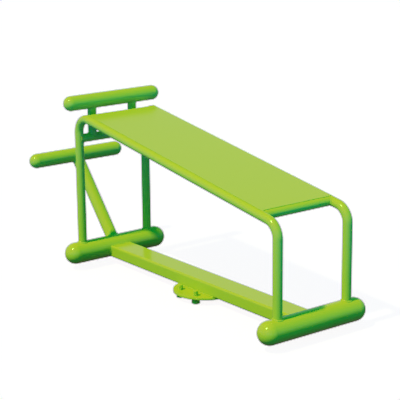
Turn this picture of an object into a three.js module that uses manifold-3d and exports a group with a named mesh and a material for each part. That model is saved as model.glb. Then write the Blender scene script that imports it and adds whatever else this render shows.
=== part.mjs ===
// Sit-up bench for an outdoor gym: a sloping board on two bent tube frames, two round-ended
// base tubes joined by a flat beam, a knee roller on two posts and a foot roller on a strut.
// Millimetres. X runs along the bench towards the low end, Y across it, Z up.
// The origin is the centre of the ground flange, at ground level.
import * as THREE from 'three';
import { mergeVertices } from 'three/addons/utils/BufferGeometryUtils.js';
import Module from 'manifold-3d';

// base
const BASE_SPACING = 1490;
const BASE_OD = 106.8;
const BASE_WALL = 4;
const BASE_STRAIGHT = 480;

// ground beam, a flat rectangular hollow section
const BEAM_WIDTH = 120;
const BEAM_HEIGHT = 60;
const BEAM_WALL = 4;
const BEAM_CORNER = 9;

// side frames
const FRAME_OD = 42.4;
const FRAME_WALL = 3;
const FRAME_SPACING = 393.4;
const HIGH_CORNER_Z = 751;
const LOW_CORNER_Z = 513.5;
const BEND_RADIUS = 75;

// board and the two cross tubes under its ends
const HIGH_CROSS_X = -663;
const LOW_CROSS_X = 639;
const SHEET_WIDTH = 396;
const SHEET_THICKNESS = 2.5;
const SHEET_CORNER = 3;

// rollers
const ROLLER_OD = 73.6;
const ROLLER_WALL = 3;
const ROLLER_STRAIGHT = 479;
const KNEE_ROLLER_Z = 811.3;
const FOOT_ROLLER_X = -1090;
const FOOT_ROLLER_Z = 464.6;
const CROSSBAR_Z = 632.2;
const POST_SPACING = 238.8;
const STRUT_OD = 60.3;
const STRUT_WALL = 3;

// ground flange and its bolts
const FLANGE_OD = 302;
const FLANGE_THICKNESS = 10;
const FLANGE_HOLE = 26;
const BOLT_PITCH_RADIUS = 117;
const BOLT_ANGLE = Math.PI / 3;
const BOLT_SHANK = 24;
const BOLT_ACROSS_FLATS = 36;
const BOLT_RISE = 25;
const NUT_HEIGHT = 26;
const BOLT_END = 2;
const BOLT_SIDES = 24;

// surfaces that touch stay this far apart
const GAP = 0.3;
// a tube that meets another of its own size stops this far short of its axis
const SADDLE_TRIM = 6;
const SIDES = 28;
const BEND_STEPS = 9;
const DOME_STEPS = 5;

const highX = -BASE_SPACING / 2;
const lowX = BASE_SPACING / 2;
const baseZ = BASE_OD / 2;
const beamZ = FLANGE_THICKNESS + BEAM_HEIGHT / 2;
const slope = Math.atan((HIGH_CORNER_Z - LOW_CORNER_Z) / BASE_SPACING);

const AXIS_Y = new THREE.Vector3(0, 1, 0);
// A third of a turn about this line takes X to Y, Y to Z and Z to X.
const XYZ_DIAGONAL = new THREE.Vector3(1, 1, 1).normalize();
const wasm = await Module();
wasm.setup();

// ---- paint ----

function greenPaint() {
  return new THREE.MeshStandardMaterial({ color: 0x8fc31f, roughness: 0.3, metalness: 0 });
}

// ---- solids ----

function toSolid(geometry) {
  const bare = geometry.clone();
  bare.deleteAttribute('normal');
  bare.deleteAttribute('uv');
  const merged = mergeVertices(bare, 1e-4);
  return new wasm.Manifold(new wasm.Mesh({
    numProp: 3,
    vertProperties: new Float32Array(merged.attributes.position.array),
    triVerts: new Uint32Array(merged.index.array),
  }));
}

function toGeometry(solid) {
  const mesh = solid.getMesh();
  const geometry = new THREE.BufferGeometry();
  geometry.setAttribute('position', new THREE.BufferAttribute(mesh.vertProperties, 3));
  geometry.setIndex(new THREE.BufferAttribute(mesh.triVerts, 1));
  geometry.computeVertexNormals();
  return geometry;
}

// Cuts a placed mesh by other placed meshes.
function cutBy(piece, ...tools) {
  piece.updateMatrixWorld();
  const toPiece = piece.matrixWorld.clone().invert();
  let solid = toSolid(piece.geometry);
  for (const tool of tools) {
    tool.updateMatrixWorld();
    const place = new THREE.Matrix4().multiplyMatrices(toPiece, tool.matrixWorld);
    solid = solid.subtract(toSolid(tool.geometry.clone().applyMatrix4(place)));
  }
  piece.geometry = toGeometry(solid);
  return piece;
}

// A tube along Y, open at both ends.
function tubeGeometry(outerDiameter, wall, length) {
  const outer = outerDiameter / 2;
  const inner = outer - wall;
  const end = length / 2;
  const profile = [[inner, end], [inner, -end], [outer, -end], [outer, end], [inner, end]];
  return new THREE.LatheGeometry(profile.map(([r, y]) => new THREE.Vector2(r, y)), SIDES);
}

function rodGeometry(diameter, length) {
  return new THREE.CylinderGeometry(diameter / 2, diameter / 2, length, SIDES);
}

// A hollow half ball that closes the +Y end of a tube, with its rim in the plane y = 0.
function domeGeometry(outerDiameter, wall) {
  const outer = outerDiameter / 2;
  const profile = [];
  for (let step = 0; step <= DOME_STEPS; step += 1) {
    const angle = (Math.PI / 2) * (1 - step / DOME_STEPS);
    profile.push(new THREE.Vector2((outer - wall) * Math.cos(angle), (outer - wall) * Math.sin(angle)));
  }
  for (let step = 0; step <= DOME_STEPS; step += 1) {
    const angle = (Math.PI / 2) * (step / DOME_STEPS);
    profile.push(new THREE.Vector2(outer * Math.cos(angle), outer * Math.sin(angle)));
  }
  profile[0].x = 0;
  profile[profile.length - 1].x = 0;
  return new THREE.LatheGeometry(profile, SIDES);
}

function roundedRectangle(width, height, corner) {
  const x = width / 2 - corner;
  const y = height / 2 - corner;
  const outline = new THREE.Shape();
  outline.absarc(x, y, corner, 0, Math.PI / 2);
  outline.absarc(-x, y, corner, Math.PI / 2, Math.PI);
  outline.absarc(-x, -y, corner, Math.PI, 1.5 * Math.PI);
  outline.absarc(x, -y, corner, 1.5 * Math.PI, 2 * Math.PI);
  outline.closePath();
  return outline;
}

function circle(diameter, x = 0, y = 0) {
  const outline = new THREE.Shape();
  outline.absarc(x, y, diameter / 2, 0, 2 * Math.PI);
  return outline;
}

// The path of a bent tube: straight runs joined by round bends, with its stations only in the bends.
class BentPath extends THREE.Curve {
  constructor(corners, bendRadius) {
    super();
    this.stations = [];
    const last = corners.length - 1;
    const direction = (k) => corners[k + 1].clone().sub(corners[k]).normalize();
    this.stations.push({ point: corners[0], tangent: direction(0) });
    for (let k = 1; k < last; k += 1) {
      this.addBend(corners[k], direction(k - 1), direction(k), bendRadius);
    }
    this.stations.push({ point: corners[last], tangent: direction(last - 1) });
    this.steps = this.stations.length - 1;
  }

  addBend(corner, into, out, radius) {
    const turn = into.angleTo(out);
    const axis = into.clone().cross(out).normalize();
    const inward = axis.clone().cross(into);
    const start = corner.clone().addScaledVector(into, -radius * Math.tan(turn / 2));
    const centre = start.clone().addScaledVector(inward, radius);
    for (let step = 0; step <= BEND_STEPS; step += 1) {
      const angle = (turn * step) / BEND_STEPS;
      const spoke = inward.clone().multiplyScalar(-radius).applyAxisAngle(axis, angle);
      this.stations.push({ point: centre.clone().add(spoke), tangent: into.clone().applyAxisAngle(axis, angle) });
    }
  }

  getPointAt(u, target = new THREE.Vector3()) {
    return target.copy(this.stations[Math.round(u * this.steps)].point);
  }

  getTangentAt(u, target = new THREE.Vector3()) {
    return target.copy(this.stations[Math.round(u * this.steps)].tangent);
  }
}

// ---- placing ----

function place(mesh, x, y, z) {
  mesh.position.set(x, y, z);
  return mesh;
}

function named(name, geometry) {
  const mesh = new THREE.Mesh(geometry, greenPaint());
  mesh.name = name;
  return mesh;
}

// A solid rod along Y where a lateral tube lies, for cutting what meets that tube.
function lateralTool(outerDiameter, x, z) {
  return place(new THREE.Mesh(rodGeometry(outerDiameter + 2 * GAP, 2 * FRAME_SPACING)), x, 0, z);
}

function railZ(x) {
  return (HIGH_CORNER_Z + LOW_CORNER_Z) / 2 - x * Math.tan(slope);
}

const bench = new THREE.Group();

// ---- base tubes, each with a half ball at both ends ----

function lateralTubeWithDomes(tubeName, domeName, outerDiameter, wall, straight, x, z) {
  const tube = named(tubeName, tubeGeometry(outerDiameter, wall, straight - 2 * GAP));
  bench.add(place(tube, x, 0, z));
  for (const [side, sign] of [['left', -1], ['right', 1]]) {
    const dome = named(`${domeName}_${side}`, domeGeometry(outerDiameter, wall));
    dome.rotation.x = sign > 0 ? 0 : Math.PI;
    bench.add(place(dome, x, (sign * straight) / 2, z));
  }
}

lateralTubeWithDomes('base_tube_high_end', 'base_cap_high_end', BASE_OD, BASE_WALL, BASE_STRAIGHT, highX, baseZ);
lateralTubeWithDomes('base_tube_low_end', 'base_cap_low_end', BASE_OD, BASE_WALL, BASE_STRAIGHT, lowX, baseZ);
const baseTools = [lateralTool(BASE_OD, highX, baseZ), lateralTool(BASE_OD, lowX, baseZ)];

// ---- ground beam between the base tubes ----

function groundBeam() {
  const section = roundedRectangle(BEAM_WIDTH, BEAM_HEIGHT - GAP, BEAM_CORNER);
  section.holes.push(roundedRectangle(
    BEAM_WIDTH - 2 * BEAM_WALL,
    BEAM_HEIGHT - GAP - 2 * BEAM_WALL,
    BEAM_CORNER - BEAM_WALL,
  ));
  const geometry = new THREE.ExtrudeGeometry(section, { depth: BASE_SPACING, bevelEnabled: false, curveSegments: 3 });
  geometry.translate(0, 0, -BASE_SPACING / 2);
  const beam = named('ground_beam', geometry);
  beam.quaternion.setFromAxisAngle(XYZ_DIAGONAL, (2 * Math.PI) / 3);
  return cutBy(place(beam, 0, 0, beamZ + GAP / 2), ...baseTools);
}

bench.add(groundBeam());

// ---- ground flange with four bolts and nuts ----

function boltPlaces() {
  const angles = [BOLT_ANGLE, Math.PI - BOLT_ANGLE, Math.PI + BOLT_ANGLE, 2 * Math.PI - BOLT_ANGLE];
  return angles.map((angle) => [BOLT_PITCH_RADIUS * Math.cos(angle), BOLT_PITCH_RADIUS * Math.sin(angle)]);
}

function groundFlange() {
  const disc = circle(FLANGE_OD);
  for (const [x, y] of boltPlaces()) {
    disc.holes.push(circle(FLANGE_HOLE, x, y));
  }
  const settings = { depth: FLANGE_THICKNESS, bevelEnabled: false, curveSegments: SIDES / 2 };
  return named('ground_flange', new THREE.ExtrudeGeometry(disc, settings));
}

function hexagon(acrossFlats) {
  const radius = acrossFlats / Math.sqrt(3);
  const corners = [];
  for (let k = 0; k < 6; k += 1) {
    const angle = ((2 * k + 1) * Math.PI) / 6;
    corners.push(new THREE.Vector2(radius * Math.cos(angle), radius * Math.sin(angle)));
  }
  return new THREE.Shape(corners);
}

function anchorBolt(name) {
  const top = FLANGE_THICKNESS + BOLT_RISE;
  const bottom = -GAP - NUT_HEIGHT - BOLT_END;
  const shank = new THREE.CylinderGeometry(BOLT_SHANK / 2, BOLT_SHANK / 2, top - bottom, BOLT_SIDES);
  shank.rotateX(Math.PI / 2);
  shank.translate(0, 0, (top + bottom) / 2);
  return named(name, shank);
}

function hexNut(name) {
  const section = hexagon(BOLT_ACROSS_FLATS);
  section.holes.push(circle(BOLT_SHANK + 2 * GAP));
  const settings = { depth: NUT_HEIGHT, bevelEnabled: false, curveSegments: BOLT_SIDES / 2 };
  const geometry = new THREE.ExtrudeGeometry(section, settings);
  geometry.translate(0, 0, -GAP - NUT_HEIGHT);
  return named(name, geometry);
}

bench.add(groundFlange());
boltPlaces().forEach(([x, y], k) => {
  bench.add(place(anchorBolt(`anchor_bolt_${k + 1}`), x, y, 0));
  bench.add(place(hexNut(`anchor_nut_${k + 1}`), x, y, 0));
});

// ---- side frames: one bent tube each, from base tube up, along the board and down ----

function framePath() {
  const corners = [[highX, baseZ], [highX, HIGH_CORNER_Z], [lowX, LOW_CORNER_Z], [lowX, baseZ]];
  return new BentPath(corners.map(([x, z]) => new THREE.Vector3(x, 0, z)), BEND_RADIUS);
}

function bentGeometry(section) {
  const path = framePath();
  return new THREE.ExtrudeGeometry(section, { steps: path.steps, extrudePath: path, curveSegments: SIDES / 2 });
}

function sideFrame(name, y) {
  const section = circle(FRAME_OD);
  section.holes.push(circle(FRAME_OD - 2 * FRAME_WALL));
  return cutBy(place(named(name, bentGeometry(section)), 0, y, 0), ...baseTools);
}

bench.add(sideFrame('side_frame_left', -FRAME_SPACING / 2));
bench.add(sideFrame('side_frame_right', FRAME_SPACING / 2));

const frameTools = [-1, 1].map((sign) => {
  const tool = new THREE.Mesh(bentGeometry(circle(FRAME_OD + 2 * GAP)));
  return place(tool, 0, (sign * FRAME_SPACING) / 2, 0);
});

// ---- cross tubes between the side frames ----

function crossTube(name, x, z) {
  const tube = named(name, tubeGeometry(FRAME_OD, FRAME_WALL, FRAME_SPACING - 2 * SADDLE_TRIM));
  return cutBy(place(tube, x, 0, z), ...frameTools);
}

bench.add(crossTube('cross_tube_high_end', HIGH_CROSS_X, railZ(HIGH_CROSS_X)));
bench.add(crossTube('cross_tube_low_end', LOW_CROSS_X, railZ(LOW_CROSS_X)));
bench.add(crossTube('roller_crossbar', highX, CROSSBAR_Z));

// ---- board: a flat sheet on top of the side frames, from one cross tube to the other ----

function boardSheet() {
  const middleX = (HIGH_CROSS_X + LOW_CROSS_X) / 2;
  const length = (LOW_CROSS_X - HIGH_CROSS_X) / Math.cos(slope);
  const outline = roundedRectangle(length, SHEET_WIDTH, SHEET_CORNER);
  const settings = { depth: SHEET_THICKNESS, bevelEnabled: false, curveSegments: 3 };
  const sheet = named('board_sheet', new THREE.ExtrudeGeometry(outline, settings));
  sheet.rotation.y = slope;
  place(sheet, middleX, 0, railZ(middleX));
  sheet.translateZ(FRAME_OD / 2 + GAP);
  return sheet;
}

bench.add(boardSheet());

// ---- knee roller on two posts, which stand on the crossbar ----

lateralTubeWithDomes(
  'knee_roller_tube', 'knee_roller_cap', ROLLER_OD, ROLLER_WALL, ROLLER_STRAIGHT, highX, KNEE_ROLLER_Z,
);
const postTools = [lateralTool(FRAME_OD, highX, CROSSBAR_Z), lateralTool(ROLLER_OD, highX, KNEE_ROLLER_Z)];

function rollerPost(name, y) {
  const length = KNEE_ROLLER_Z - CROSSBAR_Z - SADDLE_TRIM;
  const post = named(name, tubeGeometry(FRAME_OD, FRAME_WALL, length));
  post.rotation.x = Math.PI / 2;
  return cutBy(place(post, highX, y, KNEE_ROLLER_Z - length / 2), ...postTools);
}

bench.add(rollerPost('roller_post_left', -POST_SPACING / 2));
bench.add(rollerPost('roller_post_right', POST_SPACING / 2));

// ---- foot roller on a strut that leans out from the high-end base tube ----

lateralTubeWithDomes(
  'foot_roller_tube', 'foot_roller_cap', ROLLER_OD, ROLLER_WALL, ROLLER_STRAIGHT, FOOT_ROLLER_X, FOOT_ROLLER_Z,
);

function footRollerStrut() {
  const foot = new THREE.Vector3(highX, 0, baseZ);
  const top = new THREE.Vector3(FOOT_ROLLER_X, 0, FOOT_ROLLER_Z);
  const along = top.clone().sub(foot);
  const strut = named('foot_roller_strut', tubeGeometry(STRUT_OD, STRUT_WALL, along.length()));
  strut.quaternion.setFromUnitVectors(AXIS_Y, along.clone().normalize());
  strut.position.copy(foot).addScaledVector(along, 0.5);
  return cutBy(strut, baseTools[0], lateralTool(ROLLER_OD, FOOT_ROLLER_X, FOOT_ROLLER_Z));
}

bench.add(footRollerStrut());

export default bench;
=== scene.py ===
import math

import bmesh
import bpy
from mathutils import Matrix, Quaternion, Vector


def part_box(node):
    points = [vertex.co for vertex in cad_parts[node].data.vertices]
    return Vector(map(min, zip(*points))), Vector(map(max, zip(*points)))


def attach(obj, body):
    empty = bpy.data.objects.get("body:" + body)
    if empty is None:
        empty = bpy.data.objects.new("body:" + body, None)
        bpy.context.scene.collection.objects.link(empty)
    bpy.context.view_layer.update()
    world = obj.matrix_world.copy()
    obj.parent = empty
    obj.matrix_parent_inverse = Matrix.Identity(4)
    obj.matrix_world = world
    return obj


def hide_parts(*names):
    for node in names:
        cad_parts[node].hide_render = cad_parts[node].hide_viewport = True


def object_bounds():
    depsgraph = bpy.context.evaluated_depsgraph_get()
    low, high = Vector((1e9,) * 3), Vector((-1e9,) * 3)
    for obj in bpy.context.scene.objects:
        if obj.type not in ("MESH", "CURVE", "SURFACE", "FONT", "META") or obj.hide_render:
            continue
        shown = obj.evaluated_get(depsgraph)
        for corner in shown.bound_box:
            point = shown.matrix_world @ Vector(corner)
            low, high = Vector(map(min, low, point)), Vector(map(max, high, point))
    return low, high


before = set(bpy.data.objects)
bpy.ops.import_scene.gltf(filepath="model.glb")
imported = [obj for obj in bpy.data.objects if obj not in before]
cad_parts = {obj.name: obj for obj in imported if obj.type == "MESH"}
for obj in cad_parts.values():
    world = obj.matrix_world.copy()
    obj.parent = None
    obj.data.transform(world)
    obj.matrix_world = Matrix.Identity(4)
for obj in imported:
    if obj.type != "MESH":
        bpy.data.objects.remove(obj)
cad_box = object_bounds()

# ---- Camera ----
# A long lens stands off the low end's near side, a little above the board, and takes in the
# whole bench. It looks at a point over the ground beam and leans by half a degree.
camera_data = bpy.data.cameras.new("camera")
camera_data.lens = 123.7
camera_data.sensor_width = 36.0
camera_data.clip_end = 200.0
CAMERA_DISTANCE = 6.3658
camera = bpy.data.objects.new("camera", camera_data)
bpy.context.scene.collection.objects.link(camera)
bpy.context.scene.camera = camera

camera_turn = math.radians(52.51)
camera_rise = math.radians(14.573)
camera_lean = math.radians(-0.579)
camera_aim = Vector((-0.0343, 0.0, 0.4301))
towards_camera = Vector((
    math.sin(camera_turn) * math.cos(camera_rise),
    -math.cos(camera_turn) * math.cos(camera_rise),
    math.sin(camera_rise),
))
camera.location = camera_aim + towards_camera * CAMERA_DISTANCE
camera.rotation_mode = "QUATERNION"
camera.rotation_quaternion = (
    (-towards_camera).to_track_quat("-Z", "Y") @ Quaternion((0, 0, 1), camera_lean)
)

# ---- Base tubes ----
# Two thick steel tubes lie across the bench and carry it. Each end is closed by a pressed half
# ball, butt welded and dressed flush, and everything is sprayed the same glossy green.
MM = 0.001
BASE_RADIUS = 53.4 * MM
BASE_STRAIGHT = 480 * MM
SEAM_PROUD = 0.2 * MM
HIGH_X = -745 * MM
LOW_X = 745 * MM
PAINT_GREEN = (0.34, 0.50, 0.022)
PAINT_IOR = 1.3


def sprayed_paint_group():
    """Orange peel, faint runs of thickness and patchy gloss, as a sprayed coat has them."""
    group = bpy.data.node_groups.new("sprayed paint", "ShaderNodeTree")
    for name, kind, value in (
        ("Coordinates", "NodeSocketVector", (0.0, 0.0, 0.0)),
        ("Paint Color", "NodeSocketColor", (0.3, 0.6, 0.03, 1.0)),
        ("Color Drift", "NodeSocketFloat", 0.04),
        ("Gloss Roughness", "NodeSocketFloat", 0.2),
        ("Roughness Drift", "NodeSocketFloat", 0.05),
        ("Peel Size", "NodeSocketFloat", 550.0),
        ("Peel Depth", "NodeSocketFloat", 0.05),
    ):
        socket = group.interface.new_socket(name=name, in_out="INPUT", socket_type=kind)
        socket.default_value = value
    for name, kind in (
        ("Color", "NodeSocketColor"),
        ("Roughness", "NodeSocketFloat"),
        ("Normal", "NodeSocketVector"),
    ):
        group.interface.new_socket(name=name, in_out="OUTPUT", socket_type=kind)
    nodes = group.nodes
    link = group.links.new
    given = nodes.new("NodeGroupInput")
    result = nodes.new("NodeGroupOutput")

    drift = nodes.new("ShaderNodeTexNoise")
    drift.inputs["Scale"].default_value = 5.0
    drift.inputs["Detail"].default_value = 3.0
    link(given.outputs["Coordinates"], drift.inputs["Vector"])
    centred = nodes.new("ShaderNodeMath")
    centred.operation = "SUBTRACT"
    centred.inputs[1].default_value = 0.5
    link(drift.outputs["Fac"], centred.inputs[0])

    brightness = nodes.new("ShaderNodeMath")
    brightness.operation = "MULTIPLY_ADD"
    brightness.inputs[2].default_value = 1.0
    link(centred.outputs[0], brightness.inputs[0])
    link(given.outputs["Color Drift"], brightness.inputs[1])
    tinted = nodes.new("ShaderNodeVectorMath")
    tinted.operation = "SCALE"
    link(given.outputs["Paint Color"], tinted.inputs[0])
    link(brightness.outputs[0], tinted.inputs["Scale"])
    link(tinted.outputs[0], result.inputs["Color"])

    patchy = nodes.new("ShaderNodeMath")
    patchy.operation = "MULTIPLY_ADD"
    link(centred.outputs[0], patchy.inputs[0])
    link(given.outputs["Roughness Drift"], patchy.inputs[1])
    link(given.outputs["Gloss Roughness"], patchy.inputs[2])
    link(patchy.outputs[0], result.inputs["Roughness"])

    peel = nodes.new("ShaderNodeTexNoise")
    peel.inputs["Detail"].default_value = 1.0
    link(given.outputs["Coordinates"], peel.inputs["Vector"])
    link(given.outputs["Peel Size"], peel.inputs["Scale"])
    bump = nodes.new("ShaderNodeBump")
    bump.inputs["Distance"].default_value = 0.0003
    link(peel.outputs["Fac"], bump.inputs["Height"])
    link(given.outputs["Peel Depth"], bump.inputs["Strength"])
    link(bump.outputs["Normal"], result.inputs["Normal"])
    return group


sprayed_paint = sprayed_paint_group()


def painted_steel(name, color, roughness=0.18, peel_depth=0.02):
    """One coat colour with its own gloss, broken up by the sprayed paint group."""
    material = bpy.data.materials.new(name)
    material.use_nodes = True
    nodes = material.node_tree.nodes
    link = material.node_tree.links.new
    shader = nodes["Principled BSDF"]
    shader.inputs["IOR"].default_value = PAINT_IOR
    place = nodes.new("ShaderNodeTexCoord")
    coat_of_paint = nodes.new("ShaderNodeGroup")
    coat_of_paint.node_tree = sprayed_paint
    coat_of_paint.inputs["Paint Color"].default_value = (*color, 1.0)
    coat_of_paint.inputs["Gloss Roughness"].default_value = roughness
    coat_of_paint.inputs["Peel Depth"].default_value = peel_depth
    link(place.outputs["Object"], coat_of_paint.inputs["Coordinates"])
    link(coat_of_paint.outputs["Color"], shader.inputs["Base Color"])
    link(coat_of_paint.outputs["Roughness"], shader.inputs["Roughness"])
    link(coat_of_paint.outputs["Normal"], shader.inputs["Normal"])
    return material


green_paint = painted_steel("green paint", PAINT_GREEN)


def finished(bm, name, material, slot, *cad_nodes, sharp_degrees=32, flat_over=math.inf):
    """Turns a bmesh into a piece that rides on the bench and stands for its CAD nodes.

    Faces of more than flat_over square metres are shaded flat, the rest smooth."""
    bmesh.ops.remove_doubles(bm, verts=bm.verts, dist=1e-6)
    bmesh.ops.recalc_face_normals(bm, faces=bm.faces)
    mesh = bpy.data.meshes.new(name)
    bm.to_mesh(mesh)
    bm.free()
    mesh.shade_smooth()
    mesh.set_sharp_from_angle(angle=math.radians(sharp_degrees))
    for face in mesh.polygons:
        face.use_smooth = face.area < flat_over
    mesh.materials.append(material)
    piece = bpy.data.objects.new(name, mesh)
    bpy.context.scene.collection.objects.link(piece)
    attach(piece, "root")
    if cad_nodes:
        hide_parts(*cad_nodes)
    return piece


def ring_of(bm, radius, sides):
    """A flat ring of edges about the upright axis, which tubes and beads are pulled from."""
    made = bmesh.ops.create_circle(bm, cap_ends=False, radius=radius, segments=sides)
    edges = {edge for vert in made["verts"] for edge in vert.link_edges}
    return made["verts"], list(edges)


def extrude_ring(bm, edges, move):
    """Pulls a ring of edges along by a vector and returns the new ring."""
    made = bmesh.ops.extrude_edge_only(bm, edges=edges)["geom"]
    verts = [part for part in made if isinstance(part, bmesh.types.BMVert)]
    new_edges = [part for part in made if isinstance(part, bmesh.types.BMEdge)]
    ring = [edge for edge in new_edges if all(vert in verts for vert in edge.verts)]
    bmesh.ops.translate(bm, verts=verts, vec=move)
    return verts, ring


def turned(bm, outline, axis, steps):
    """Spins an open outline, a chain of edges, into a closed body of revolution."""
    bmesh.ops.spin(
        bm, geom=outline, cent=(0, 0, 0), axis=axis, dvec=(0, 0, 0), angle=2 * math.pi,
        steps=steps, use_merge=True, use_duplicate=False,
    )
    bmesh.ops.remove_doubles(bm, verts=bm.verts, dist=1e-7)


def chain_of(bm, points):
    """A chain of edges through a few points."""
    verts = [bm.verts.new(point) for point in points]
    edges = [bm.edges.new(pair) for pair in zip(verts, verts[1:])]
    return verts + edges


def straight_skin(name, radius, length, x, z, cad_node):
    """The straight part of a tube across the bench, closed at both ends."""
    bm = bmesh.new()
    ring_verts, ring = ring_of(bm, radius, 64)
    bmesh.ops.rotate(bm, verts=ring_verts, matrix=Matrix.Rotation(-math.pi / 2, 3, "X"))
    bmesh.ops.translate(bm, verts=ring_verts, vec=(0, -length / 2, 0))
    bm.faces.new(ring_verts)
    far_ring = extrude_ring(bm, ring, (0, length, 0))[1]
    bmesh.ops.holes_fill(bm, edges=far_ring)
    bmesh.ops.translate(bm, verts=bm.verts, vec=(x, 0, z))
    return finished(bm, name, green_paint, "green_paint", cad_node)


def half_ball(name, radius, x, y, z, cad_node):
    """A half ball with its rim in the plane y, bulging away from the middle of the bench."""
    side = math.copysign(1, y)
    bm = bmesh.new()
    rim = bm.verts.new((radius, 0, 0))
    bmesh.ops.spin(
        bm, geom=[rim], cent=(0, 0, 0), axis=(0, 0, side), dvec=(0, 0, 0), angle=math.pi / 2,
        steps=16, use_merge=False, use_duplicate=False,
    )
    turned(bm, bm.verts[:] + bm.edges[:], (0, 1, 0), 64)
    rim_edges = [edge for edge in bm.edges if edge.is_boundary]
    bmesh.ops.holes_fill(bm, edges=rim_edges)
    bmesh.ops.translate(bm, verts=bm.verts, vec=(x, y, z))
    return finished(bm, name, green_paint, "green_paint", cad_node)


def dressed_seam(name, radius, x, y, z):
    """The butt weld between tube and half ball, ground down to a faint ridge."""
    width = 3.5 * MM
    bm = bmesh.new()
    outline = chain_of(bm, [
        (radius - 2 * MM, -width, 0), (radius - SEAM_PROUD, -width, 0),
        (radius - 0.05 * MM, -width / 2, 0), (radius, 0, 0),
        (radius - 0.05 * MM, width / 2, 0), (radius - SEAM_PROUD, width, 0),
        (radius - 2 * MM, width, 0), (radius - 2 * MM, -width, 0),
    ])
    turned(bm, outline, (0, 1, 0), 64)
    bmesh.ops.translate(bm, verts=bm.verts, vec=(x, y, z))
    return finished(bm, name, green_paint, "green_paint", sharp_degrees=60)


def round_ended_tube(part, end, radius, straight, x, z):
    """A tube across the bench with a half ball and a dressed seam at both ends."""
    skin = radius - SEAM_PROUD
    straight_skin(f"{part}_tube{end}_skin", skin, straight, x, z, f"{part}_tube{end}")
    for side, y in (("left", -straight / 2), ("right", straight / 2)):
        half_ball(f"{part}_cap{end}_{side}_skin", skin, x, y, z, f"{part}_cap{end}_{side}")
        dressed_seam(f"{part}_seam{end}_{side}", radius, x, y, z)


round_ended_tube("base", "_high_end", BASE_RADIUS, BASE_STRAIGHT, HIGH_X, BASE_RADIUS)
round_ended_tube("base", "_low_end", BASE_RADIUS, BASE_STRAIGHT, LOW_X, BASE_RADIUS)

# ---- Ground beam ----
# A flat rectangular hollow section with rounded corners runs between the base tubes. Its ends
# are cut to the tubes' curve and welded all round.
beam_low, beam_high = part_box("ground_beam")
BEAM_CORNER = 9 * MM
BEAM_CUTS = 8
CUT_OVERLAP = 0.5 * MM
WELD_STEP = 1.4 * MM
WELD_RIPPLE = 4.5 * MM


def ground_beam():
    """The beam's skin: rounded along its corners, with both ends cut to the base tubes."""
    width = beam_high.y - beam_low.y
    height = beam_high.z - beam_low.z
    bm = bmesh.new()
    bmesh.ops.create_cube(bm, size=1.0)
    bmesh.ops.scale(bm, verts=bm.verts, vec=(LOW_X - HIGH_X, width, height))
    long_edges = [edge for edge in bm.edges if abs((edge.verts[0].co - edge.verts[1].co).x) > 1]
    bmesh.ops.bevel(
        bm, geom=long_edges, offset=BEAM_CORNER, affect="EDGES", segments=6, profile=0.5,
        material=-1, clamp_overlap=True,
    )
    bmesh.ops.translate(bm, verts=bm.verts, vec=(0, 0, (beam_low.z + beam_high.z) / 2))
    for cut in range(1, BEAM_CUTS):
        level = beam_low.z + BEAM_CORNER + (height - 2 * BEAM_CORNER) * cut / BEAM_CUTS
        bmesh.ops.bisect_plane(
            bm, geom=bm.verts[:] + bm.edges[:] + bm.faces[:], dist=1e-7,
            plane_co=(0, 0, level), plane_no=(0, 0, 1),
        )
    for vert in bm.verts:
        reach = math.sqrt(BASE_RADIUS**2 - (vert.co.z - BASE_RADIUS) ** 2)
        vert.co.x -= math.copysign(reach - CUT_OVERLAP, vert.co.x)
    return finished(
        bm, "ground_beam_skin", green_paint, "green_paint", "ground_beam", flat_over=0.005,
    )


def laid_bead(name, path, radius):
    """A weld bead along a path, with the small even ripples that a steady hand leaves."""
    points = [path[0]]
    for start, end in zip(path, path[1:]):
        steps = max(1, round((end - start).length / WELD_STEP))
        points += [start.lerp(end, step / steps) for step in range(1, steps + 1)]
    bm = bmesh.new()
    verts, ring = ring_of(bm, radius, 10)
    heading = (points[1] - points[0]).normalized()
    turn = Vector((0, 0, 1)).rotation_difference(heading).to_matrix()
    bmesh.ops.rotate(bm, verts=verts, matrix=turn)
    bmesh.ops.translate(bm, verts=verts, vec=points[0])
    bmesh.ops.holes_fill(bm, edges=ring)
    travelled = 0.0
    swell = 1.0
    for before, here, after in zip(points, points[1:], points[2:] + [points[-1] * 2 - points[-2]]):
        verts, ring = extrude_ring(bm, ring, here - before)
        travelled += (here - before).length
        next_heading = (after - before).normalized()
        turn = heading.rotation_difference(next_heading).to_matrix()
        bmesh.ops.rotate(bm, verts=verts, matrix=turn, cent=here)
        next_swell = 1 + 0.08 * math.cos(2 * math.pi * travelled / WELD_RIPPLE)
        for vert in verts:
            vert.co = here + (vert.co - here) * (next_swell / swell)
        heading = next_heading
        swell = next_swell
    bmesh.ops.holes_fill(bm, edges=ring)
    return finished(bm, name, green_paint, "green_paint", sharp_degrees=80)


def beam_end_path(base_x, inward):
    """Round the beam's outline, on the base tube's skin, from the middle of its underside."""
    half_width = (beam_high.y - beam_low.y) / 2
    outline = [Vector((0, 0, beam_low.z))]
    for side_y, side_z, first in ((1, -1, 270), (1, 1, 0), (-1, 1, 90), (-1, -1, 180)):
        centre_y = side_y * (half_width - BEAM_CORNER)
        centre_z = (beam_high.z if side_z > 0 else beam_low.z) - side_z * BEAM_CORNER
        for step in range(7):
            angle = math.radians(first + 15 * step)
            outline.append(Vector((
                0, centre_y + BEAM_CORNER * math.cos(angle), centre_z + BEAM_CORNER * math.sin(angle),
            )))
    outline.append(Vector((0, 0, beam_low.z)))
    path = [outline[0]]
    for start, end in zip(outline, outline[1:]):
        steps = max(1, round((end - start).length / (3 * MM)))
        path += [start.lerp(end, step / steps) for step in range(1, steps + 1)]
    for point in path:
        reach = math.sqrt(BASE_RADIUS**2 - (point.z - BASE_RADIUS) ** 2)
        point.x = base_x + inward * (reach + 0.3 * MM)
    return path


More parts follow.
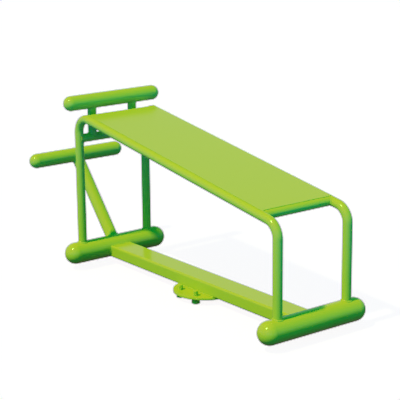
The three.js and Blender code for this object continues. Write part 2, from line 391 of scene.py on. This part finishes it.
ground_beam()
laid_bead("beam_weld_high_end", beam_end_path(HIGH_X, 1), 3 * MM)
laid_bead("beam_weld_low_end", beam_end_path(LOW_X, -1), 3 * MM)

# ---- Side frames ----
# Each is one tube bent twice: up from the high-end base tube, along under the board's edge, and
# down to the low-end base tube. The feet are cut to a saddle and sit on top of the base tubes.
FRAME_RADIUS = 21.2 * MM
BEND_RADIUS = 75 * MM
HIGH_CORNER = Vector((HIGH_X, 0, 751 * MM))
LOW_CORNER = Vector((LOW_X, 0, 513.5 * MM))
FRAME_Y = 196.7 * MM
SLOPE = math.atan2(HIGH_CORNER.z - LOW_CORNER.z, LOW_CORNER.x - HIGH_CORNER.x)


def saddle(across, other_radius):
    """How far from another tube's axis its skin lies, at a distance across from that axis."""
    return math.sqrt(max(other_radius**2 - across**2, 0.0))


def side_frame(name, y, cad_node):
    """Leg, bend, rail, bend and leg, pulled and spun from one ring of edges."""
    down = Vector((0, 0, -1))
    rail = (LOW_CORNER - HIGH_CORNER).normalized()
    high_turn = math.pi / 2 + SLOPE
    low_turn = math.pi / 2 - SLOPE
    high_setback = BEND_RADIUS * math.tan(high_turn / 2)
    low_setback = BEND_RADIUS * math.tan(low_turn / 2)
    bm = bmesh.new()
    verts, ring = ring_of(bm, FRAME_RADIUS, 40)
    bmesh.ops.translate(bm, verts=verts, vec=(HIGH_X, 0, BASE_RADIUS))
    foot = verts
    bend_start = HIGH_CORNER.z - high_setback
    verts, ring = extrude_ring(bm, ring, (0, 0, bend_start - BASE_RADIUS))
    for centre, turn in (
        (Vector((HIGH_X + BEND_RADIUS, 0, bend_start)), high_turn),
        (Vector((LOW_X - BEND_RADIUS, 0, LOW_CORNER.z - low_setback)), low_turn),
    ):
        made = bmesh.ops.spin(
            bm, geom=verts + ring, cent=centre, axis=(0, 1, 0), dvec=(0, 0, 0), angle=turn,
            steps=24, use_merge=False, use_duplicate=False,
        )["geom_last"]
        verts = [part for part in made if isinstance(part, bmesh.types.BMVert)]
        ring = [part for part in made if isinstance(part, bmesh.types.BMEdge)]
        if turn == high_turn:
            run = (LOW_CORNER - HIGH_CORNER).length - high_setback - low_setback
            verts, ring = extrude_ring(bm, ring, rail * run)
    verts, ring = extrude_ring(bm, ring, down * (LOW_CORNER.z - low_setback - BASE_RADIUS))
    for vert in foot:
        vert.co.z += saddle(vert.co.x - HIGH_X, BASE_RADIUS) - CUT_OVERLAP
    for vert in verts:
        vert.co.z += saddle(vert.co.x - LOW_X, BASE_RADIUS) - CUT_OVERLAP
    bmesh.ops.holes_fill(bm, edges=[edge for edge in bm.edges if edge.is_boundary])
    bmesh.ops.translate(bm, verts=bm.verts, vec=(0, y, 0))
    return finished(bm, name, green_paint, "green_paint", cad_node)


def saddle_weld(name, foot, along, beside, radius, other_radius, bead=3.6 * MM):
    """A rippled bead round a tube where it stands on another tube.

    foot is where the two axes meet, along points up this tube and beside along the other."""
    ripples = max(8, round(2 * math.pi * radius / WELD_RIPPLE))
    bm = bmesh.new()
    verts, ring = ring_of(bm, bead, 10)
    bmesh.ops.rotate(bm, verts=verts, matrix=Matrix.Rotation(math.pi / 2, 3, "X"))
    bmesh.ops.translate(bm, verts=verts, vec=(radius + 0.2 * bead, 0, 0))
    bmesh.ops.spin(
        bm, geom=verts + ring, cent=(0, 0, 0), axis=(0, 0, 1), dvec=(0, 0, 0),
        angle=2 * math.pi, steps=ripples * 4, use_merge=True, use_duplicate=False,
    )
    for vert in bm.verts:
        spoke = Vector((vert.co.x, vert.co.y, 0))
        turn = math.atan2(vert.co.y, vert.co.x)
        centre = spoke.normalized() * (radius + 0.2 * bead)
        swell = 1 + 0.07 * math.cos(ripples * turn)
        vert.co = centre + (vert.co - centre) * swell
        vert.co.z += saddle(spoke.x, other_radius) + 0.2 * bead
    across = Vector(beside).cross(along)
    turn = Matrix((across, Vector(beside), Vector(along))).transposed()
    bmesh.ops.transform(bm, verts=bm.verts, matrix=Matrix.Translation(foot) @ turn.to_4x4())
    return finished(bm, name, green_paint, "green_paint", sharp_degrees=80)


UP = Vector((0, 0, 1))
ACROSS_BENCH = Vector((0, 1, 0))
for side, y in (("left", -FRAME_Y), ("right", FRAME_Y)):
    side_frame(f"side_frame_{side}_skin", y, f"side_frame_{side}")
    for end, x in (("high_end", HIGH_X), ("low_end", LOW_X)):
        saddle_weld(
            f"leg_weld_{end}_{side}", Vector((x, y, BASE_RADIUS)), UP, ACROSS_BENCH,
            FRAME_RADIUS, BASE_RADIUS,
        )

# ---- Cross tubes and crossbar ----
# Three tubes of the side frames' size join the two frames: one under each end of the board, and
# one between the high-end legs that carries the knee roller's posts. All are saddle cut.
RAIL = (LOW_CORNER - HIGH_CORNER).normalized()
CROSSBAR_Z = 632.2 * MM
HIGH_CROSS_X = -663 * MM
LOW_CROSS_X = 639 * MM


def rail_point(x):
    """The point on the rails' line, between the two frames, at a place along the bench."""
    return HIGH_CORNER + RAIL * ((x - HIGH_X) / RAIL.x)


def tube_between(name, start, end, beside, radius, start_radius, end_radius, cad_node):
    """A tube from one tube's axis to another's, with both ends cut to those tubes' curve."""
    along = (end - start).normalized()
    length = (end - start).length
    bm = bmesh.new()
    near, ring = ring_of(bm, radius, 48)
    far, far_ring = extrude_ring(bm, ring, (0, 0, length))
    for vert in near:
        vert.co.z += saddle(vert.co.x, start_radius) - CUT_OVERLAP
    for vert in far:
        vert.co.z -= saddle(vert.co.x, end_radius) - CUT_OVERLAP
    bmesh.ops.holes_fill(bm, edges=[edge for edge in bm.edges if edge.is_boundary])
    turn = Matrix((Vector(beside).cross(along), Vector(beside), along)).transposed()
    bmesh.ops.transform(bm, verts=bm.verts, matrix=Matrix.Translation(start) @ turn.to_4x4())
    return finished(bm, name, green_paint, "green_paint", cad_node)


for name, middle, beside in (
    ("cross_tube_high_end", rail_point(HIGH_CROSS_X), RAIL),
    ("cross_tube_low_end", rail_point(LOW_CROSS_X), RAIL),
    ("roller_crossbar", Vector((HIGH_X, 0, CROSSBAR_Z)), UP),
):
    left = middle - ACROSS_BENCH * FRAME_Y
    right = middle + ACROSS_BENCH * FRAME_Y
    tube_between(f"{name}_skin", left, right, beside, FRAME_RADIUS, FRAME_RADIUS, FRAME_RADIUS, name)
    for side, foot, along in (("left", left, ACROSS_BENCH), ("right", right, -ACROSS_BENCH)):
        saddle_weld(f"{name}_weld_{side}", foot, along, beside, FRAME_RADIUS, FRAME_RADIUS, 3 * MM)

# ---- Board ----
# A thin steel sheet lies on the two rails and the two cross tubes, welded from below. It ends
# square over the cross tubes' crowns, with its cut edges just broken before painting.
SHEET_THICKNESS = 2.5 * MM
SHEET_WIDTH = 396 * MM
SHEET_LIFT = FRAME_RADIUS + 0.3 * MM
board_paint = painted_steel("board paint", PAINT_GREEN)


def level_edges(bm):
    """The edges that lie level, which are the rims of a plate that isn't tilted yet."""
    return [edge for edge in bm.edges if abs(edge.verts[0].co.z - edge.verts[1].co.z) < 1e-6]


def board():
    """The flat sheet, with rounded corners and broken edges, laid along the rails' slope."""
    start = rail_point(HIGH_CROSS_X)
    end = rail_point(LOW_CROSS_X)
    bm = bmesh.new()
    bmesh.ops.create_cube(bm, size=1.0)
    bmesh.ops.scale(bm, verts=bm.verts, vec=((end - start).length, SHEET_WIDTH, SHEET_THICKNESS))
    flat_edges = level_edges(bm)
    corners = [edge for edge in bm.edges if edge not in flat_edges]
    bmesh.ops.bevel(
        bm, geom=corners, offset=3 * MM, affect="EDGES", segments=4, profile=0.5, material=-1,
    )
    bmesh.ops.bevel(
        bm, geom=level_edges(bm), offset=0.6 * MM, affect="EDGES", segments=3, profile=0.5, material=-1,
    )
    lift = SHEET_LIFT + SHEET_THICKNESS / 2
    tilt = Matrix.Rotation(SLOPE, 4, "Y")
    place = Matrix.Translation((start + end) / 2) @ tilt @ Matrix.Translation((0, 0, lift))
    bmesh.ops.transform(bm, verts=bm.verts, matrix=place)
    return finished(
        bm, "board_sheet_skin", board_paint, "board_paint", "board_sheet", flat_over=0.005,
    )


board()

# Short stitches of weld hold the sheet from below, in the groove between it and each rail.
STITCH_LENGTH = 35 * MM
STITCH_PLACES = (-560 * MM, -360 * MM, -160 * MM, 40 * MM, 240 * MM, 440 * MM, 580 * MM)
SHEET_UP = Vector((math.sin(SLOPE), 0, math.cos(SLOPE)))
for side, y in (("left", -1), ("right", 1)):
    for number, x in enumerate(STITCH_PLACES, start=1):
        middle = rail_point(x) + SHEET_UP * (SHEET_LIFT - 2.2 * MM)
        middle.y = y * (FRAME_Y - 8.5 * MM)
        half = RAIL * STITCH_LENGTH / 2
        laid_bead(f"sheet_stitch_{side}_{number}", [middle - half, middle + half], 2.4 * MM)

# ---- Knee roller ----
# A round-ended tube across the top, under which the user hooks the knees. Two short posts carry
# it, welded to the crossbar below and to the roller's underside.
ROLLER_RADIUS = 36.8 * MM
ROLLER_STRAIGHT = 479 * MM
KNEE_Z = 811.3 * MM
POST_Y = 119.4 * MM
round_ended_tube("knee_roller", "", ROLLER_RADIUS, ROLLER_STRAIGHT, HIGH_X, KNEE_Z)
for side, y in (("left", -POST_Y), ("right", POST_Y)):
    foot = Vector((HIGH_X, y, CROSSBAR_Z))
    head = Vector((HIGH_X, y, KNEE_Z))
    tube_between(
        f"roller_post_{side}_skin", foot, head, ACROSS_BENCH, FRAME_RADIUS, FRAME_RADIUS,
        ROLLER_RADIUS, f"roller_post_{side}",
    )
    saddle_weld(f"post_foot_weld_{side}", foot, UP, ACROSS_BENCH, FRAME_RADIUS, FRAME_RADIUS, 3 * MM)
    saddle_weld(f"post_head_weld_{side}", head, -UP, ACROSS_BENCH, FRAME_RADIUS, ROLLER_RADIUS, 3 * MM)

# ---- Foot roller ----
# A second round-ended tube hangs out beyond the high end, for the feet. One stout strut carries
# it, leaning out and up from the middle of the base tube.
STRUT_RADIUS = 30.15 * MM
FOOT_X = -1090 * MM
FOOT_Z = 464.6 * MM
round_ended_tube("foot_roller", "", ROLLER_RADIUS, ROLLER_STRAIGHT, FOOT_X, FOOT_Z)
strut_foot = Vector((HIGH_X, 0, BASE_RADIUS))
strut_head = Vector((FOOT_X, 0, FOOT_Z))
strut_along = (strut_head - strut_foot).normalized()
tube_between(
    "foot_roller_strut_skin", strut_foot, strut_head, ACROSS_BENCH, STRUT_RADIUS, BASE_RADIUS,
    ROLLER_RADIUS, "foot_roller_strut",
)
saddle_weld("strut_foot_weld", strut_foot, strut_along, ACROSS_BENCH, STRUT_RADIUS, BASE_RADIUS)
saddle_weld("strut_head_weld", strut_head, -strut_along, ACROSS_BENCH, STRUT_RADIUS, ROLLER_RADIUS)

# ---- Ground flange ----
# A round steel plate under the middle of the beam, welded to it along both sides, with four
# drilled holes for the anchor bolts.
flange_low, flange_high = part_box("ground_flange")
FLANGE_RADIUS = 151 * MM
HOLE_RADIUS = 13 * MM
BOLT_PITCH_RADIUS = 117 * MM
BOLT_ANGLES = [math.radians(degrees) for degrees in (60, 120, 240, 300)]
bolt_places = [
    Vector((BOLT_PITCH_RADIUS * math.cos(angle), BOLT_PITCH_RADIUS * math.sin(angle), 0))
    for angle in BOLT_ANGLES
]


def cut_to_shape(piece, tool_bm, operation="DIFFERENCE"):
    """Cuts a piece with a second body, or keeps only what lies inside that body."""
    bmesh.ops.recalc_face_normals(tool_bm, faces=tool_bm.faces)
    tool_mesh = bpy.data.meshes.new("tool")
    tool_bm.to_mesh(tool_mesh)
    tool_bm.free()
    tool = bpy.data.objects.new("tool", tool_mesh)
    bpy.context.scene.collection.objects.link(tool)
    cut = piece.modifiers.new("cut", "BOOLEAN")
    cut.operation = operation
    cut.solver = "EXACT"
    cut.object = tool
    bpy.context.view_layer.update()
    result = piece.evaluated_get(bpy.context.evaluated_depsgraph_get())
    cut_mesh = bpy.data.meshes.new_from_object(result)
    piece.modifiers.remove(cut)
    cut_mesh.name = piece.name
    piece.data = cut_mesh
    bpy.data.objects.remove(tool)


def ground_flange():
    """A disc with broken rims, drilled through at each bolt."""
    thickness = flange_high.z - flange_low.z
    bm = bmesh.new()
    bmesh.ops.create_cone(
        bm, cap_ends=True, segments=120, radius1=FLANGE_RADIUS, radius2=FLANGE_RADIUS, depth=thickness,
    )
    bmesh.ops.bevel(
        bm, geom=level_edges(bm), offset=1 * MM, affect="EDGES", segments=3, profile=0.5, material=-1,
    )
    bmesh.ops.translate(bm, verts=bm.verts, vec=(0, 0, (flange_low.z + flange_high.z) / 2))
    plate = finished(
        bm, "ground_flange_skin", green_paint, "green_paint", "ground_flange", flat_over=0.005,
    )
    for place in bolt_places:
        drill = bmesh.new()
        bmesh.ops.create_cone(
            drill, cap_ends=True, segments=48, radius1=HOLE_RADIUS, radius2=HOLE_RADIUS,
            depth=4 * thickness,
        )
        bmesh.ops.translate(drill, verts=drill.verts, vec=place)
        cut_to_shape(plate, drill)
    return plate


ground_flange()
for side, y in (("left", beam_low.y), ("right", beam_high.y)):
    half = math.sqrt(FLANGE_RADIUS**2 - y**2) - 5 * MM
    height = flange_high.z + 2 * MM
    edge = y - math.copysign(1.5 * MM, y)
    laid_bead(
        f"flange_weld_{side}", [Vector((-half, edge, height)), Vector((half, edge, height))], 3.6 * MM,
    )

# ---- Anchor bolts and nuts ----
# Four threaded bolts come up through the flange's holes, and each has a hexagon nut below it, so
# the plate rests on the nuts. Nuts are chamfered, and all of it is painted over with the rest.
SHANK_RADIUS = 12 * MM
THREAD_PITCH = 3 * MM
THREAD_DEPTH = 1.2 * MM
ACROSS_FLATS = 36 * MM
bolt_paint = painted_steel("bolt paint", PAINT_GREEN, roughness=0.16, peel_depth=0.06)


def turned_body(points, steps=48):
    """A closed body of revolution about the upright axis, from half its outline."""
    bm = bmesh.new()
    outline = chain_of(bm, [(radius, 0, height) for radius, height in points])
    turned(bm, outline, (0, 0, 1), steps)
    return bm


def threaded_bolt(name, bottom, top, cad_node):
    """A bolt threaded from end to end, with both ends chamfered to the thread's root."""
    root = SHANK_RADIUS - THREAD_DEPTH
    outline = [(0, top), (root, top), (SHANK_RADIUS, top - THREAD_DEPTH)]
    level = top - THREAD_DEPTH
    while level - THREAD_PITCH > bottom + THREAD_DEPTH:
        outline.append((SHANK_RADIUS, level - 0.15 * THREAD_PITCH))
        outline.append((root, level - 0.5 * THREAD_PITCH))
        outline.append((SHANK_RADIUS, level - 0.85 * THREAD_PITCH))
        level -= THREAD_PITCH
    outline += [(SHANK_RADIUS, bottom + THREAD_DEPTH), (root, bottom), (0, bottom)]
    return finished(turned_body(outline, 32), name, bolt_paint, "bolt_paint", cad_node)


def hexagon_nut(name, bottom, top, cad_node):
    """A hexagon with the corners of both faces turned off, bored for its bolt."""
    corner = ACROSS_FLATS / math.sqrt(3)
    face_radius = 0.95 * ACROSS_FLATS / 2
    drop = (corner - face_radius) * math.tan(math.radians(30))
    bm = bmesh.new()
    bmesh.ops.create_cone(
        bm, cap_ends=True, segments=6, radius1=corner, radius2=corner, depth=top - bottom,
    )
    bmesh.ops.bevel(
        bm, geom=bm.edges[:], offset=0.3 * MM, affect="EDGES", segments=2, profile=0.5, material=-1,
    )
    bmesh.ops.translate(bm, verts=bm.verts, vec=(0, 0, (top + bottom) / 2))
    nut = finished(bm, name, bolt_paint, "bolt_paint", cad_node, flat_over=0.0001)
    chamfers = [
        (0, top), (face_radius, top), (corner, top - drop),
        (corner, bottom + drop), (face_radius, bottom), (0, bottom),
    ]
    cut_to_shape(nut, turned_body(chamfers), "INTERSECT")
    bore = SHANK_RADIUS + 0.1 * MM
    drill = [(0, top + MM), (bore, top + MM), (bore, bottom - MM), (0, bottom - MM)]
    cut_to_shape(nut, turned_body(drill))
    return nut


for number, place in enumerate(bolt_places, start=1):
    bolt_low, bolt_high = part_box(f"anchor_bolt_{number}")
    nut_low, nut_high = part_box(f"anchor_nut_{number}")
    bolt = threaded_bolt(
        f"anchor_bolt_{number}_skin", bolt_low.z, bolt_high.z, f"anchor_bolt_{number}",
    )
    nut = hexagon_nut(
        f"anchor_nut_{number}_skin", nut_low.z, nut_high.z, f"anchor_nut_{number}",
    )
    for piece in (bolt, nut):
        piece.data.transform(Matrix.Translation(place))

# ---- Floor ----
# A plain pale floor lies just under the bolts' ends, near white, with very faint shadows. It is
# there from above only, so that it doesn't hide the bench from below.
FLOOR_Z = cad_box[0].z
FLOOR_SIZE = 40.0
FLOOR_PAINT = (0.025, 0.025, 0.06, 1)
FLOOR_GLOW = (1.276, 1.266, 1.26, 1)
# The floor's painted glow in the bench's gloss, and the painted light that it gives the bench's shaded
# sides, dimmed by painted shade under the bench.
FLOOR_IN_GLOSS = (0.25, 0.12, 0.15, 1)
LIGHT_FROM_AFAR = (0.0, 0.56, 5.0, 1)
LIGHT_FROM_UNDER = (0.03, 0.035, 0.1, 1)
DIM_MIDDLE = (-0.15, 0, FLOOR_Z)
DIM_REACH = (3.0, 2.2, 1)


def either_shader(nodes, link, choice, first, second):
    """The first shader where the choice is 0, and the second where it is 1."""
    mix = nodes.new("ShaderNodeMixShader")
    link(choice, mix.inputs["Fac"])
    link(first, mix.inputs[1])
    link(second, mix.inputs[2])
    return mix.outputs["Shader"]


def painted_floor_light(nodes, link):
    """Painted light that the floor gives the bench's matt paint: painted shade dims it under and beside
    the bench, and it is bright some two metres away from it.
    """
    where = nodes.new("ShaderNodeTexCoord")
    spread = nodes.new("ShaderNodeMapping")
    spread.vector_type = "TEXTURE"
    spread.inputs["Location"].default_value = DIM_MIDDLE
    spread.inputs["Scale"].default_value = DIM_REACH
    link(where.outputs["Object"], spread.inputs["Vector"])
    nearness = nodes.new("ShaderNodeTexGradient")
    nearness.gradient_type = "SPHERICAL"
    link(spread.outputs["Vector"], nearness.inputs["Vector"])
    fade = nodes.new("ShaderNodeValToRGB")
    far, near = fade.color_ramp.elements
    far.color = LIGHT_FROM_AFAR
    near.color = LIGHT_FROM_UNDER
    far.position = 0.25
    near.position = 0.5
    link(nearness.outputs["Fac"], fade.inputs["Fac"])
    glow = nodes.new("ShaderNodeEmission")
    link(fade.outputs["Color"], glow.inputs["Color"])
    return glow.outputs["Emission"]


def pale_floor():
    """Near white to the eye, a dull painted glow in the bench's gloss, and painted cool light on its
    shaded sides.
    """
    material = bpy.data.materials.new("pale floor")
    material.use_nodes = True
    nodes = material.node_tree.nodes
    link = material.node_tree.links.new
    nodes.remove(nodes["Principled BSDF"])
    matt = nodes.new("ShaderNodeBsdfDiffuse")
    matt.inputs["Color"].default_value = FLOOR_PAINT
    glow = nodes.new("ShaderNodeEmission")
    glow.inputs["Color"].default_value = FLOOR_GLOW
    seen = nodes.new("ShaderNodeAddShader")
    link(matt.outputs["BSDF"], seen.inputs[0])
    link(glow.outputs["Emission"], seen.inputs[1])
    dull = nodes.new("ShaderNodeEmission")
    dull.inputs["Color"].default_value = FLOOR_IN_GLOSS
    gone = nodes.new("ShaderNodeBsdfTransparent")
    ray = nodes.new("ShaderNodeLightPath")
    side = nodes.new("ShaderNodeNewGeometry")
    lighting = either_shader(
        nodes, link, ray.outputs["Is Glossy Ray"], painted_floor_light(nodes, link),
        dull.outputs["Emission"],
    )
    above = either_shader(
        nodes, link, ray.outputs["Is Camera Ray"], lighting, seen.outputs["Shader"],
    )
    whole = either_shader(nodes, link, side.outputs["Backfacing"], above, gone.outputs["BSDF"])
    link(whole, nodes["Material Output"].inputs["Surface"])
    return material


bm = bmesh.new()
bmesh.ops.create_grid(bm, x_segments=1, y_segments=1, size=FLOOR_SIZE)
bmesh.ops.translate(bm, verts=bm.verts, vec=(0, 0, FLOOR_Z))
floor_mesh = bpy.data.meshes.new("floor")
bm.to_mesh(floor_mesh)
bm.free()
floor_mesh.materials.append(pale_floor())
floor = bpy.data.objects.new("floor", floor_mesh)
bpy.context.scene.collection.objects.link(floor)

# ---- Surround ----
# A white backdrop to the eye. In the gloss it is a pale tent, dark overhead, and as light it is a
# cool glow, strongest near the horizon. Heights run from 0 at the horizon to 1 overhead.
WHITE_LEVEL = 1.3
GLOW_BY_HEIGHT = ((0.12, (0.0, 0.56, 2.4)), (0.3, (0.0, 0.56, 0.4)))
TENT_BY_HEIGHT = ((0.5, (0.55, 0.8, 0.65)), (0.64, (0.05, 0.12, 0.08)), (1.0, (0.03, 0.08, 0.05)))


def surround():
    """Three looks in one: a glow for matt paint, a tent for gloss, and white for the eye."""
    world = bpy.data.worlds.new("studio")
    bpy.context.scene.world = world
    world.use_nodes = True
    nodes = world.node_tree.nodes
    link = world.node_tree.links.new
    nodes.clear()
    place = nodes.new("ShaderNodeTexCoord")
    height = nodes.new("ShaderNodeSeparateXYZ")
    link(place.outputs["Generated"], height.inputs["Vector"])

    def background(stops):
        ramp = nodes.new("ShaderNodeValToRGB")
        lowest, highest = ramp.color_ramp.elements
        lowest.color = (*stops[0][1], 1)
        highest.color = (*stops[-1][1], 1)
        lowest.position = stops[0][0]
        highest.position = stops[-1][0]
        for position, color in stops[1:-1]:
            ramp.color_ramp.elements.new(position).color = (*color, 1)
        link(height.outputs["Z"], ramp.inputs["Fac"])
        glow = nodes.new("ShaderNodeBackground")
        link(ramp.outputs["Color"], glow.inputs["Color"])
        return glow.outputs["Background"]

    white = nodes.new("ShaderNodeBackground")
    white.inputs["Color"].default_value = (1, 1, 1, 1)
    white.inputs["Strength"].default_value = WHITE_LEVEL
    ray = nodes.new("ShaderNodeLightPath")
    unseen = either_shader(
        nodes, link, ray.outputs["Is Glossy Ray"], background(GLOW_BY_HEIGHT),
        background(TENT_BY_HEIGHT),
    )
    whole = either_shader(
        nodes, link, ray.outputs["Is Camera Ray"], unseen, white.outputs["Background"],
    )
    output = nodes.new("ShaderNodeOutputWorld")
    link(whole, output.inputs["Surface"])


surround()

# ---- Lamps ----
# A compact yellow key light stands high over the near side and draws the crisp shadows and the
# highlights. A broad blue-green fill stands low beyond the low end's near corner.


def lamp(name, width_degrees, energy, color, place, heading):
    """A lamp as far off as the sun, with its width in the sky and the way that it shines."""
    data = bpy.data.lights.new(name, "SUN")
    data.angle = math.radians(width_degrees)
    data.energy = energy
    data.color = color
    light = bpy.data.objects.new(name, data)
    bpy.context.scene.collection.objects.link(light)
    light.location = place
    light.rotation_mode = "QUATERNION"
    light.rotation_quaternion = Vector(heading).to_track_quat("-Z", "Y")


lamp(
    "key", width_degrees=2.5, energy=4.6, color=(1.0, 0.95, 0.2), place=(0, -2.8, 4.2),
    heading=(0, 0.545, -0.839),
)
lamp(
    "front fill", width_degrees=70, energy=0.95, color=(0.0, 0.65, 0.8), place=(3.2, -2.2, 1.4),
    heading=(-0.6, 0.72, -0.33),
)

# ---- View ----
# Shades are shown as they are and lights are rolled off, as on film, so that the bright green
# keeps its colour. Full white is the level of the backdrop.
view = bpy.context.scene.view_settings
view.view_transform = "Standard"
view.use_curve_mapping = True
view.curve_mapping.white_level = (WHITE_LEVEL,) * 3
response = view.curve_mapping.curves[3]
for light, shown in (
    (0.2, 0.2), (0.35, 0.345), (0.45, 0.425), (0.6, 0.505), (0.8, 0.565), (1.0, 0.62), (1.12, 0.72),
):
    response.points.new(light / WHITE_LEVEL, shown)
view.curve_mapping.update()
